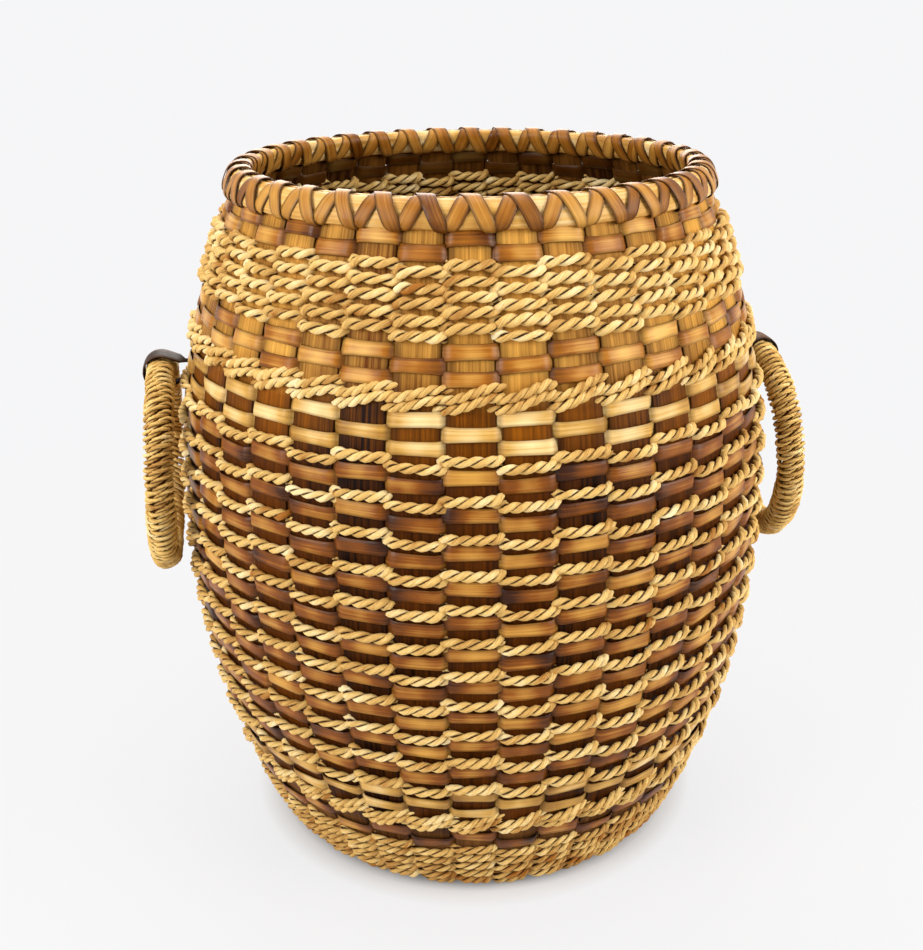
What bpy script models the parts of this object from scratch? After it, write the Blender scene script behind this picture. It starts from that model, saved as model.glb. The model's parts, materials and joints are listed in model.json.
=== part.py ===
"""Barrel basket: split-wood uprights, woven courses, a cross-lashed rim and two hanging ring handles.

Units are metres, +Z is up and the floor is z = 0. The origin is the middle of the base. The ring handles
hang on the -X and +X sides. Each woven course here stands for one band of rows on the real wall.
"""
import math

import bmesh
import bpy
from mathutils import Vector
from mathutils.geometry import interpolate_bezier

# Barrel: radii are to the middle of the wall's thickness
RIM_RADIUS = 0.1110
BELLY_RADIUS = 0.1485
BELLY_HEIGHT = 0.1820
FOOT_RADIUS = 0.1070
BELLY_ROUNDING_UP = 0.0800
BELLY_ROUNDING_DOWN = 0.0500
SHOULDER_REACH = 0.0600
SHOULDER_LEAN = 0.37
FOOT_REACH = 0.0550
FOOT_LEAN = 0.595
OUTLINE_POINTS = 65

# Uprights: nineteen splints cross under the base, and both ends of each turn up as an upright
SPLINTS_ALONG_X = 10
SPLINTS_ALONG_Y = 9
SPLINT_THICKNESS = 0.0010
UPRIGHT_GAP = 0.0065
BASE_SPLINT_GAP = 0.0016
FOOT_TURN = 0.0140
TURN_STEPS = 3

# Woven courses from the foot up: name, how many, height of one, finish
COURSES = (
    ("foot_cord_weaver", 2, 0.0100, "straw"),
    ("lower_brown_weaver", 1, 0.0110, "brown"),
    ("lower_twined_weaver", 1, 0.0120, "straw"),
    ("lower_straw_weaver", 1, 0.0140, "pale"),
    ("belly_weaver", 11, 0.0128, "brown"),
    ("upper_straw_weaver", 2, 0.0072, "pale"),
    ("upper_twined_weaver", 1, 0.0096, "straw"),
    ("shoulder_brown_weaver", 2, 0.0058, "brown"),
    ("neck_cord_weaver", 3, 0.0085, "straw"),
    ("rim_brown_weaver", 1, 0.0072, "brown"),
)
FIRST_COURSE = 0.0125
COURSE_GAP = 0.0024
COURSES_PER_STRAIGHT = 3
WEAVER_THICKNESS = 0.0008

# Rim: a hoop on each side of the uprights, crossed by two lashing strips
RIM_HEIGHT = 0.0120
HOOP_THICKNESS = 0.0044
HOOP_LOWER_SLOPE = 0.0028
HOOP_UPPER_SLOPE = 0.0024
LASHING_THICKNESS = 0.0007
LASHING_WIDTH = 0.0036
# How far round its way a lashing wrap has come at each corner of the rim, from the gap under the hoops
LASHING_CORNERS = (0.0, 0.10, 0.33, 0.50, 0.67, 0.90)

# Ring handles: a bent core wound with cord, hung in a strap that goes through the wall
# Each: name, side, height of the hinge, the courses just below and just above the strap's two arms
RINGS = (
    ("left", -1, 0.2530, "belly_weaver_11", "upper_straw_weaver_02"),
    ("right", 1, 0.2450, "belly_weaver_10", "upper_straw_weaver_01"),
)
RING_RADIUS = 0.0488
RING_LEAN = math.radians(3.2)
RING_CORE_RADIUS = 0.0041
RING_CORD_RADIUS = 0.0013
RING_LOOPS = 18
LOOP_POINTS = 8
RING_SEGMENTS = 36
RING_SIDES = 6
STRAP_THICKNESS = 0.0009
STRAP_WIDTH = 0.0140
STRAP_NECK_WIDTH = 0.0048
STRAP_LAP = 0.0040
STRAP_TURN_STEPS = 8

# Clearances
FIT = 0.0003
STRAP_CLEARANCE = 0.0005
SWING_CLEARANCE = 0.0008

UPRIGHTS = 2 * (SPLINTS_ALONG_X + SPLINTS_ALONG_Y)
STEP = math.tau / UPRIGHTS
UPRIGHT_START = STEP / 2
TURN_RADIUS = FOOT_RADIUS - FOOT_TURN
LASHING_LAYER = LASHING_THICKNESS + 2 * FIT

COLOURS = {
    "upright": ((0.30, 0.16, 0.07), 0.55),
    "brown": ((0.36, 0.17, 0.05), 0.40),
    "pale": ((0.72, 0.50, 0.24), 0.45),
    "straw": ((0.66, 0.44, 0.18), 0.75),
    "hoop": ((0.58, 0.34, 0.12), 0.45),
    "lashing": ((0.34, 0.16, 0.07), 0.40),
    "ring_core": ((0.40, 0.22, 0.09), 0.60),
    "strap": ((0.10, 0.05, 0.03), 0.50),
}


def clear_scene():
    for old in list(bpy.data.objects):
        bpy.data.objects.remove(old, do_unlink=True)


def make_collection():
    parts = bpy.data.collections.new("barrel_basket")
    bpy.context.scene.collection.children.link(parts)
    return parts


def make_materials():
    made = {}
    for name, (colour, roughness) in COLOURS.items():
        material = bpy.data.materials.new(name)
        material.use_nodes = True
        shader = material.node_tree.nodes["Principled BSDF"]
        shader.inputs["Base Color"].default_value = (*colour, 1.0)
        shader.inputs["Roughness"].default_value = roughness
        shader.inputs["Metallic"].default_value = 0.0
        made[name] = material
    return made


def add_object(name, data, material):
    made = bpy.data.objects.new(name, data)
    made.data.materials.append(MATERIALS[material])
    PARTS.objects.link(made)
    return made


def polar(radius, angle, height):
    return Vector((radius * math.cos(angle), radius * math.sin(angle), height))


# The wall
def list_courses():
    """Name, bottom, top and finish of every course, from the foot up."""
    courses = []
    low = FIRST_COURSE
    for family, count, height, finish in COURSES:
        for number in range(count):
            name = family if count == 1 else f"{family}_{number + 1:02d}"
            courses.append((name, low, low + height, finish))
            low += height + COURSE_GAP
    return courses


def smooth_radius(height):
    """The barrel's smooth outline: two curves that meet upright at the belly."""
    if height >= BELLY_HEIGHT:
        ends = ((BELLY_RADIUS, BELLY_HEIGHT), (BELLY_RADIUS, BELLY_HEIGHT + BELLY_ROUNDING_UP),
                (RIM_RADIUS + SHOULDER_LEAN * SHOULDER_REACH, RIM_TOP - SHOULDER_REACH),
                (RIM_RADIUS, RIM_TOP))
    else:
        ends = ((FOOT_RADIUS, 0.0), (FOOT_RADIUS + FOOT_LEAN * FOOT_REACH, FOOT_REACH),
                (BELLY_RADIUS, BELLY_HEIGHT - BELLY_ROUNDING_DOWN), (BELLY_RADIUS, BELLY_HEIGHT))
    points = interpolate_bezier(*[Vector(end) for end in ends], OUTLINE_POINTS)
    for low, high in zip(points, points[1:]):
        if height <= high.y:
            share = (height - low.y) / (high.y - low.y)
            return low.x + (high.x - low.x) * share
    return points[-1].x


def list_stations():
    """Heights where the uprights bend a little: all lie between courses, so each course lies flat."""
    last_of_each = COURSE_LIST[COURSES_PER_STRAIGHT - 1::COURSES_PER_STRAIGHT]
    bends = [top + COURSE_GAP / 2 for _, _, top, _ in last_of_each]
    return [FIRST_COURSE - COURSE_GAP / 2] + bends + [RIM_TOP]


def wall_radius(height):
    """Radius to the middle of the wall, straight between stations."""
    low, high = STATIONS[0], STATIONS[1]
    for low, high in zip(STATIONS, STATIONS[1:]):
        if height <= high:
            break
    low_radius = smooth_radius(low)
    return low_radius + (smooth_radius(high) - low_radius) * (height - low) / (high - low)


def wall_lean(height):
    """How much longer a level distance is than one square to the wall."""
    nudge = COURSE_GAP / 12
    slope = (wall_radius(height + nudge) - wall_radius(height - nudge)) / (2 * nudge)
    return math.hypot(1.0, slope)


def pitch_at(radius):
    """Distance from one upright to the next."""
    return 2 * radius * math.tan(STEP / 2)


def upright_width(height):
    return pitch_at(wall_radius(height)) - UPRIGHT_GAP


# Bent strips
def thicken(made, thickness):
    """Give an open surface its thickness, evenly on both sides."""
    solid = made.modifiers.new("thickness", "SOLIDIFY")
    solid.thickness = thickness
    solid.offset = 0.0
    solid.use_even_offset = True


def bent_strip(name, stations, thickness, material):
    """A strip along stations of (middle, half width)."""
    mesh = bpy.data.meshes.new(name)
    strip = bmesh.new()
    bmesh.ops.create_grid(strip, x_segments=len(stations) - 1, y_segments=1, size=1.0)
    for vertex in strip.verts:
        middle, half_width = stations[round((vertex.co.x + 1) / 2 * (len(stations) - 1))]
        vertex.co = middle + half_width * vertex.co.y
    strip.to_mesh(mesh)
    strip.free()
    made = add_object(name, mesh, material)
    thicken(made, thickness)


def make_splint(name, heading, place, base_pitch, floor_height):
    """One splint, a number of places from the middle: flat under the base, its ends turned up."""
    along = Vector((math.cos(heading), math.sin(heading), 0.0))
    aside = Vector((-math.sin(heading), math.cos(heading), 0.0))
    azimuth = place * STEP
    start_azimuth = math.asin(place * base_pitch / TURN_RADIUS)
    base_width = base_pitch - BASE_SPLINT_GAP
    wall_start = STATIONS[0]
    wall_start_radius = wall_radius(wall_start)
    foot_slope = (wall_radius(STATIONS[1]) - wall_start_radius) / (STATIONS[1] - wall_start)
    corner_radius = wall_start_radius - foot_slope * (wall_start - floor_height)

    def middle_at(radius, turn, height, facing):
        level = along * (radius * math.cos(turn)) * facing + aside * (radius * math.sin(turn))
        return level + Vector((0, 0, height))

    def half_width(width, turn, facing):
        return (aside * math.cos(turn) - along * math.sin(turn) * facing) * (width / 2)

    def one_side(facing):
        stations = []
        for number in range(TURN_STEPS):
            share = number / TURN_STEPS
            rest = 1 - share
            radius = (rest ** 2 * TURN_RADIUS + 2 * share * rest * corner_radius
                      + share ** 2 * wall_start_radius)
            height = (1 - share ** 2) * floor_height + share ** 2 * wall_start
            turn = rest * start_azimuth + share * azimuth
            width = rest * base_width + share * upright_width(wall_start)
            stations.append((middle_at(radius, turn, height, facing),
                             half_width(width, azimuth * share, facing)))
        for height in STATIONS:
            stations.append((middle_at(wall_radius(height), azimuth, height, facing),
                             half_width(upright_width(height), azimuth, facing)))
        return stations

    bent_strip(name, one_side(-1)[::-1] + one_side(1), SPLINT_THICKNESS, "upright")


def make_splints():
    """Two crossed layers of splints. The outermost of each layer runs straight on into its upright."""
    low_layer = SPLINT_THICKNESS / 2
    high_layer = low_layer + SPLINT_THICKNESS + FIT
    for tag, count, heading, layer in (("x", SPLINTS_ALONG_X, 0.0, low_layer),
                                       ("y", SPLINTS_ALONG_Y, math.pi / 2, high_layer)):
        outermost = (count - 1) / 2
        base_pitch = TURN_RADIUS * math.sin(outermost * STEP) / outermost
        for number in range(count):
            make_splint(f"base_splint_{tag}_{number + 1:02d}", heading, number - outermost, base_pitch,
                        layer)


# Woven courses
def weave_radii(height):
    """Radius of a course's middle where it passes outside an upright, and inside the next one."""
    radius = wall_radius(height)
    pitch = pitch_at(radius)
    cover = 1 - UPRIGHT_GAP / pitch
    reach = 0.0
    for _ in range(3):
        slant = math.hypot(1.0, 2 * reach / pitch)
        margin = (SPLINT_THICKNESS / 2 + WEAVER_THICKNESS / 2 * slant + FIT) * wall_lean(height)
        reach = margin / (1 - cover)
    middle = radius + radius * (1 - math.cos(STEP)) * cover / 2
    return middle + reach, middle - reach


def weave_outside():
    """The furthest that any course stands from the axis."""
    return max(weave_radii(height)[0] for height in STATIONS[1:-1]) + WEAVER_THICKNESS


def make_weaver(name, low, high, finish, outside_first):
    """A closed band that passes outside one upright and inside the next."""
    mesh = bpy.data.meshes.new(name)
    band = bmesh.new()
    bmesh.ops.create_cone(band, cap_ends=False, segments=UPRIGHTS, radius1=1.0, radius2=1.0, depth=1.0)
    low_radii = weave_radii(low)
    high_radii = weave_radii(high)
    for vertex in band.verts:
        is_top = vertex.co.z > 0
        outer, inner = high_radii if is_top else low_radii
        number = math.floor(math.atan2(vertex.co.y, vertex.co.x) / STEP)
        outside = (number % 2 == 0) == outside_first
        vertex.co = polar(outer if outside else inner, number * STEP + UPRIGHT_START,
                          high if is_top else low)
    band.to_mesh(mesh)
    band.free()
    made = add_object(name, mesh, finish)
    thicken(made, WEAVER_THICKNESS)


def make_weavers():
    for number, (name, low, high, finish) in enumerate(COURSE_LIST):
        make_weaver(name, low, high, finish, number % 2 == 0)


# Rim
def hoop_faces():
    """Level distances from the wall's middle to a hoop's near and far face."""
    near = (SPLINT_THICKNESS / 2 + FIT) * wall_lean(RIM_TOP - RIM_HEIGHT / 2)
    return near, near + HOOP_THICKNESS


def hoop_section(side):
    """Four corners of one hoop as (radius, height); side is 1 outside the wall and -1 inside it."""
    near, far = hoop_faces()
    low = RIM_BOTTOM + HOOP_LOWER_SLOPE
    high = RIM_TOP - HOOP_UPPER_SLOPE
    return ((wall_radius(RIM_BOTTOM) + side * near, RIM_BOTTOM), (wall_radius(low) + side * far, low),
            (wall_radius(high) + side * far, high), (wall_radius(RIM_TOP) + side * near, RIM_TOP))


def make_hoop(name, side):
    """A turned hoop with one flat for every upright."""
    mesh = bpy.data.meshes.new(name)
    section = bmesh.new()
    to_corner = 1 / math.cos(STEP / 2)
    corners = [section.verts.new(polar(radius * to_corner, UPRIGHT_START + STEP / 2, height))
               for radius, height in hoop_section(side)]
    if side > 0:
        corners.reverse()
    for one, other in zip(corners, corners[1:] + corners[:1]):
        section.edges.new((one, other))
    section.to_mesh(mesh)
    section.free()
    made = add_object(name, mesh, "hoop")
    turn = made.modifiers.new("turn", "SCREW")
    turn.steps = UPRIGHTS
    turn.render_steps = UPRIGHTS
    turn.use_merge_vertices = True
    turn.merge_threshold = 0.0001


def moved_out(outline, distance):
    """A closed outline of (radius, height) points moved outwards, with mitred corners."""
    moved = []
    for before, here, after in zip(outline[-1:] + outline[:-1], outline, outline[1:] + outline[:1]):
        first = (Vector(here) - Vector(before)).normalized()
        second = (Vector(after) - Vector(here)).normalized()
        normal_one = Vector((first.y, -first.x))
        normal_two = Vector((second.y, -second.x))
        corner = (normal_one + normal_two).normalized()
        moved.append(Vector(here) + corner * distance / corner.dot(normal_one))
    return moved


def rim_outline():
    """The outline of both hoops together, from the gap under them round the outside."""
    near, far = hoop_faces()
    outer = hoop_section(1)
    inner = hoop_section(-1)
    rise = near * HOOP_UPPER_SLOPE / HOOP_THICKNESS
    drop = near * HOOP_LOWER_SLOPE / HOOP_THICKNESS
    proud = (wall_radius(RIM_BOTTOM) + far) * (1 / math.cos(STEP / 2) - 1)
    return [(wall_radius(RIM_BOTTOM), RIM_BOTTOM - drop), (outer[1][0] + proud, outer[1][1]),
            (outer[2][0] + proud, outer[2][1]), (wall_radius(RIM_TOP), RIM_TOP + rise), inner[2], inner[1]]


def make_lashing(name, first_gap, sense, layer):
    """A strip wound round the rim: it goes through every second gap and leans one way."""
    distance = 2 * FIT + LASHING_THICKNESS / 2 + layer * LASHING_LAYER
    outline = moved_out(rim_outline(), distance)
    stations = []
    for wrap in range(UPRIGHTS // 2):
        for share, (radius, height) in zip(LASHING_CORNERS, outline):
            angle = UPRIGHT_START + STEP * (first_gap + 0.5 + sense * 2 * (wrap + share))
            along = Vector((-math.sin(angle), math.cos(angle), 0.0))
            stations.append((polar(radius, angle, height), along * (sense * LASHING_WIDTH / 2)))
    bent_strip(name, stations, LASHING_THICKNESS, "lashing")


# Ring handles
def hinge_reach():
    """Distance of a hinge from the basket's axis: the ring leans on the belly, out at its bottom."""
    at_bottom = weave_outside() + SWING_CLEARANCE + ring_tube_radius()
    return at_bottom - 2 * RING_RADIUS * math.sin(RING_LEAN)


def ring_loop_radius():
    """Radius of the cord's turns round the core: their corners stand off, so their straights clear it."""
    sag = RING_RADIUS * (1 - math.cos(math.pi / RING_SEGMENTS))
    return (RING_CORE_RADIUS + sag + FIT + RING_CORD_RADIUS) / math.cos(math.pi / LOOP_POINTS)


def ring_tube_radius():
    return ring_loop_radius() + RING_CORD_RADIUS


def ring_point(turn, loop_turn, loop_radius):
    """A point on the wound cord, from the hinge at the ring's top, before the ring leans."""
    radius = RING_RADIUS + loop_radius * math.cos(loop_turn)
    return Vector((loop_radius * math.sin(loop_turn), radius * math.sin(turn),
                   radius * math.cos(turn) - RING_RADIUS))


def least_gap(points, diameter, skip):
    """Least gap of a tube to itself, between points at least half a loop apart."""
    least = min((one - other).length for place, one in enumerate(points) for other in points[place + skip:])
    return least - diameter


def make_ring_core(name, hinge):
    bpy.ops.mesh.primitive_torus_add(major_radius=RING_RADIUS, minor_radius=RING_CORE_RADIUS,
                                     major_segments=RING_SEGMENTS, minor_segments=RING_SIDES,
                                     location=(0.0, 0.0, -RING_RADIUS), rotation=(0.0, math.pi / 2, 0.0))
    core = bpy.context.object
    core.name = name
    core.data.name = name
    for holder in list(core.users_collection):
        holder.objects.unlink(core)
    PARTS.objects.link(core)
    core.data.materials.append(MATERIALS["ring_core"])
    core.data.shade_smooth()
    core.parent = hinge


def make_ring_winding(name, hinge):
    """One cord wound round the core from the ring's bottom: its middle turn rests in the strap."""
    loop_radius = ring_loop_radius()
    half_count = RING_LOOPS * LOOP_POINTS // 2
    all_round = 2 * half_count + LOOP_POINTS / 2
    points = []
    for number in range(-half_count, half_count + 1):
        turn = math.tau * number / all_round
        loop_turn = math.pi + math.tau * number / LOOP_POINTS
        points.append(ring_point(turn, loop_turn, loop_radius))
    curve = bpy.data.curves.new(name, "CURVE")
    curve.dimensions = "3D"
    curve.bevel_depth = RING_CORD_RADIUS
    curve.bevel_resolution = 1
    curve.use_fill_caps = True
    spline = curve.splines.new("POLY")
    spline.points.add(len(points) - 1)
    for point, place in zip(spline.points, points):
        point.co = (*place, 1.0)
    winding = add_object(name, curve, "straw")
    winding.parent = hinge
    gap = least_gap(points, 2 * RING_CORD_RADIUS, LOOP_POINTS // 2)
    print(f"{name} least gap to itself {gap * 1000:.2f} mm")


def make_ring(tag, side, height):
    """Core and winding, both carried by an empty on the hinge, which leans the ring."""
    hinge = bpy.data.objects.new(f"{tag}_ring_hinge", None)
    hinge.location = (side * hinge_reach(), 0.0, height)
    hinge.rotation_euler = (0.0, -side * RING_LEAN, 0.0)
    PARTS.objects.link(hinge)
    make_ring_core(f"{tag}_ring_core", hinge)
    make_ring_winding(f"{tag}_ring_winding", hinge)


def strap_arms(course_below, course_above):
    """Heights at which the strap goes through the wall: the lower arm's, then the upper arm's."""
    below = next(top for name, _, top, _ in COURSE_LIST if name == course_below)
    above = next(low for name, low, _, _ in COURSE_LIST if name == course_above)
    return below + COURSE_GAP / 2, above - COURSE_GAP / 2


def strap_outside(arm):
    """Radius at which an arm has left the wall, half way out to the courses' outermost place."""
    return (wall_radius(arm) + weave_radii(arm)[0]) / 2 + WEAVER_THICKNESS


def strap_touch(arm, height, loop):
    """Angle from the level, about the hinge, at which an arm meets the loop without a kink."""
    across = hinge_reach() - strap_outside(arm)
    rise = abs(arm - height)
    return math.atan2(rise, -across) - math.acos(loop / math.hypot(across, rise))


def make_strap(tag, side, height, course_below, course_above):
    """A strip bent round the ring's top, its arms narrowed to go through the wall between courses."""
    low_arm, high_arm = strap_arms(course_below, course_above)
    inside = min(weave_radii(arm)[1] for arm in (low_arm, high_arm)) - WEAVER_THICKNESS - STRAP_THICKNESS
    loop = ring_tube_radius() + STRAP_CLEARANCE + STRAP_THICKNESS / 2
    for _ in range(3):
        first = strap_touch(high_arm, height, loop)
        last = -strap_touch(low_arm, height, loop)
        step = (first - last) / STRAP_TURN_STEPS
        loop = (ring_tube_radius() + STRAP_CLEARANCE + STRAP_THICKNESS / 2) / math.cos(step / 2)
    path = [(inside, high_arm - STRAP_LAP), (inside, high_arm), (strap_outside(high_arm), high_arm)]
    for number in range(STRAP_TURN_STEPS + 1):
        turn = first - step * number
        path.append((hinge_reach() + loop * math.cos(turn), height + loop * math.sin(turn)))
    path += [(strap_outside(low_arm), low_arm), (inside, low_arm), (inside, low_arm + STRAP_LAP)]
    stations = []
    for number, (out, up) in enumerate(path):
        in_neck = min(number, len(path) - 1 - number) < 3
        width = STRAP_NECK_WIDTH if in_neck else STRAP_WIDTH
        stations.append((Vector((side * out, 0.0, up)), Vector((0.0, width / 2, 0.0))))
    bent_strip(f"{tag}_ring_strap", stations, STRAP_THICKNESS, "strap")


clear_scene()
PARTS = make_collection()
MATERIALS = make_materials()
COURSE_LIST = list_courses()
RIM_BOTTOM = COURSE_LIST[-1][2] + COURSE_GAP / 2 + 2 * LASHING_LAYER
RIM_TOP = RIM_BOTTOM + RIM_HEIGHT
STATIONS = list_stations()

make_splints()
make_weavers()
make_hoop("rim_outer_hoop", 1)
make_hoop("rim_inner_hoop", -1)
make_lashing("rim_lashing_under", 0, 1, 0)
make_lashing("rim_lashing_over", 1, -1, 1)
for ring in RINGS:
    make_ring(*ring[:3])
    make_strap(*ring)
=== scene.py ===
"""Barrel basket, dressed: every row of the weave, the lashed rim, the wound ring handles and the finishes.

Metres, +Z up, in the frame of the CAD model. Angles are measured round the basket's axis. Each piece is a
grid of points: stations along it, and a closed outline at each station.
"""
import json
import math

import bpy
import numpy as np
from mathutils import Matrix, Vector


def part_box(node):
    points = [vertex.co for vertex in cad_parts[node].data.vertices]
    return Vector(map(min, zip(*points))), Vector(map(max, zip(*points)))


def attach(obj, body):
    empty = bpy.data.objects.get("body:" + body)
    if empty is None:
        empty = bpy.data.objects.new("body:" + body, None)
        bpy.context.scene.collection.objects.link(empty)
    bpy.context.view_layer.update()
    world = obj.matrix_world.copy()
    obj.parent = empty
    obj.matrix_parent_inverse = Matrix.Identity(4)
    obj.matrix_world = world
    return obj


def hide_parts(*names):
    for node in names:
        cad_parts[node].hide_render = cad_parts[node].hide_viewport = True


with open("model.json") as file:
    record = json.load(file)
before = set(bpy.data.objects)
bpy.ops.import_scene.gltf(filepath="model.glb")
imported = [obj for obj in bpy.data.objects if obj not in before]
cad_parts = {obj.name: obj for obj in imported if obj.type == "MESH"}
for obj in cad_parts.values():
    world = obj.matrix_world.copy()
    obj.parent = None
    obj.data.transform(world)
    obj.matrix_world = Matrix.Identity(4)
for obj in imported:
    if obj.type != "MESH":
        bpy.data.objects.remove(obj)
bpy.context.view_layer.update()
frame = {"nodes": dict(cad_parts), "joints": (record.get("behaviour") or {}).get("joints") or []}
RANDOM = np.random.default_rng(38)

# From the frame
RIM_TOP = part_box("rim_outer_hoop")[1].z
RIM_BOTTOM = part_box("rim_outer_hoop")[0].z
HINGES = {joint["name"].split("_")[0]: Vector(joint["pos_m"]) for joint in frame["joints"]}

# Barrel: radii are to the middle of the uprights
RIM_RADIUS = 0.1110
BELLY_RADIUS = 0.1485
BELLY_HEIGHT = 0.1820
FOOT_RADIUS = 0.1070
BELLY_ROUNDING_UP = 0.0800
BELLY_ROUNDING_DOWN = 0.0500
SHOULDER_REACH = 0.0600
SHOULDER_LEAN = 0.37
FOOT_REACH = 0.0550
FOOT_LEAN = 0.595
WALL_START = 0.0113
FOOT_TURN = 0.0140
TURN_LEAN = 0.75 * FOOT_LEAN
TURN_RADIUS = FOOT_RADIUS - FOOT_TURN
WALL_POINTS = 90
TURN_POINTS = 24
WALL_NUDGE = 0.0015

# Splints
SPLINTS_ALONG_X = 10
SPLINTS_ALONG_Y = 9
UPRIGHTS = 2 * (SPLINTS_ALONG_X + SPLINTS_ALONG_Y)
STEP = math.tau / UPRIGHTS
SPLINT_THICKNESS = 0.0008
SPLINT_GIRTH = 0.036
SPLINT_POINT_STEP = 4
SPLINT_COVER = 0.90
TURN_COVER = 0.10
TURN_BUMP_SQUARENESS = 0.35
BASE_GAP = 0.0016
BASE_MIDDLE = 0.00115
BASE_WAVE = 0.00075
BASE_WAVE_SQUARENESS = 0.3
BASE_WAVE_FADE = 0.9
BASE_POINTS_PER_CROSSING = 8
BASE_END_GAP = 0.002
SPLINT_TONE = 0.15

# Flat rows
FLAT_THICKNESS = 0.0007
FLAT_REACH = 0.0017
FLAT_SQUARENESS = 4.5
FLAT_CROWN = 0.00018
FLAT_GAP_SWELL = 0.14
FLAT_GAP_START = 0.16
FLAT_GAP_SHADE = 3.0
# How much darker the flats below the belly are towards the bottom
FLAT_BOTTOM_DARKENING = 0.26
FLAT_GIRTH = 2.2
FLAT_STATIONS_PER_UPRIGHT = 12
# Painted highlight on the flats' outward crests; below CREST_LEVEL it turns to painted shade towards their
# ends
CREST_HIGHLIGHT = 0.36
CREST_LEVEL = 0.4

# Cord rows: reach and lay are those of a cord of the usual radius
CORD_USUAL_RADIUS = 0.00225
CORD_REACH = 0.0029
CORD_LAY = 0.0122
CORD_SQUARENESS = 2.4
CORD_GAP_SWELL = 0.20
CORD_SLACK = 1.04
TWINED_SLACK = 1.1
TWIN_SPACING = 0.93
# How much darker the foot cords are towards the floor
FOOT_BOTTOM_DARKENING = 0.55
PLY_OFFSET = 0.46
PLY_RADIUS = 0.59
STATIONS_PER_UPRIGHT = 14

# How uneven the hand's work is: metres for places, shares for sizes and tones, radians for turns
FLAT_DRIFT = 0.00022
FLAT_REACH_DRIFT = 0.00018
FLAT_WIDTH_DRIFT = 0.035
FLAT_TILT = 0.09
FLAT_TONE = 0.22
CORD_DRIFT = 0.00025
CORD_SIZE_DRIFT = 0.05
CORD_TONE = 0.25
CORD_LAY_RANGE = (0.92, 1.08)
TWINED_DRIFT = 0.0004
TWINED_LAY_RANGE = (0.85, 0.95)
PLY_SIZE_DRIFT = 0.035
PLY_TURN_DRIFT = 0.45


def polar(radius, angle, height):
    return np.stack([radius * np.cos(angle), radius * np.sin(angle), height + 0 * angle], axis=-1)


def bezier(corners, count):
    """Points on a quadratic or cubic curve."""
    share = np.linspace(0, 1, count)[:, None]
    points = [np.array(corner, float)[None, :] * np.ones_like(share) for corner in corners]
    while len(points) > 1:
        points = [one + (other - one) * share for one, other in zip(points, points[1:])]
    return points[0]


def unit(vectors):
    return vectors / np.linalg.norm(vectors, axis=-1, keepdims=True)


def to_next(points):
    """How far it is from each point of a closed line to the next."""
    return np.linalg.norm(np.roll(points, -1, 0) - points, axis=1)


# The wall
def wall_outline():
    """Radius and height of the uprights' middle from the base to the rim."""
    lower = bezier([(FOOT_RADIUS, 0.0), (FOOT_RADIUS + FOOT_LEAN * FOOT_REACH, FOOT_REACH),
                    (BELLY_RADIUS, BELLY_HEIGHT - BELLY_ROUNDING_DOWN), (BELLY_RADIUS, BELLY_HEIGHT)],
                   WALL_POINTS)
    upper = bezier([(BELLY_RADIUS, BELLY_HEIGHT), (BELLY_RADIUS, BELLY_HEIGHT + BELLY_ROUNDING_UP),
                    (RIM_RADIUS + SHOULDER_LEAN * SHOULDER_REACH, RIM_TOP - SHOULDER_REACH),
                    (RIM_RADIUS, RIM_TOP)], WALL_POINTS)
    wall = np.vstack([lower[:-1], upper])
    start_radius = np.interp(WALL_START, wall[:, 1], wall[:, 0])
    corner = (start_radius - TURN_LEAN * (WALL_START - BASE_MIDDLE), BASE_MIDDLE)
    turn = bezier([(TURN_RADIUS, BASE_MIDDLE), corner, (start_radius, WALL_START)], TURN_POINTS)
    return np.vstack([turn[:-1], wall[wall[:, 1] > WALL_START]])


OUTLINE = wall_outline()


def wall_radius(height):
    return np.interp(height, OUTLINE[:, 1], OUTLINE[:, 0])


def wall_round(height):
    """The way once round the wall."""
    return math.tau * float(wall_radius(height))


def wall_frame(angle, height):
    """Place on the wall, the direction out of it and the direction up along it."""
    low = np.maximum(height - WALL_NUDGE, BASE_MIDDLE)
    high = np.minimum(height + WALL_NUDGE, RIM_TOP)
    slope = (wall_radius(high) - wall_radius(low)) / (high - low)
    length = np.hypot(slope, 1.0)
    up = polar(slope / length, angle, 1.0 / length)
    out = polar(1.0 / length, angle, -slope / length)
    return polar(wall_radius(height), angle, height), out, up


# Chance
# What the sum of a value twice and its two neighbours is divided by, to keep about the same spread
NEIGHBOUR_DIVISOR = 2.4


def smooth_random(spread, share):
    """A smooth wavy value along a closed piece, through one random value for each upright."""
    values = RANDOM.normal(0.0, spread, UPRIGHTS)
    place = share * UPRIGHTS
    low = np.floor(place).astype(int) % UPRIGHTS
    part = place - np.floor(place)
    part = (1 - np.cos(part * math.pi)) / 2
    return values[low] * (1 - part) + values[(low + 1) % UPRIGHTS] * part


def rough_random(count, spread):
    """A value that changes from station to station, round a closed piece."""
    values = RANDOM.normal(0.0, spread, count)
    return (np.roll(values, 1) + 2 * values + np.roll(values, -1)) / NEIGHBOUR_DIVISOR


# Meshes
MAP_MARGIN = 0.04
PIECE_MARK_RANGE = (0.0, 40.0)


def fold_map(steps, around):
    """A map for baking: the grid's length folded into rows that fill a square."""
    rows = max(1, int(round(math.sqrt(steps / around))))
    per_row = math.ceil(steps / rows)
    row, place = np.divmod(np.arange(steps), per_row)
    return place / per_row, (place + 1) / per_row, row, rows


def face_corners(low_i, high_i, low_j, high_j):
    """The map places of each face's corners, in the order of its points."""
    return np.stack([np.stack([low_i, low_j], 1), np.stack([high_i, low_j], 1),
                     np.stack([high_i, high_j], 1), np.stack([low_i, high_j], 1)], axis=1)


def grid_faces(stations, around, i, j):
    i_next, j_next = (i + 1) % stations, (j + 1) % around
    return np.stack([i * around + j, i_next * around + j, i_next * around + j_next, i * around + j_next],
                    axis=1)


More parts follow.
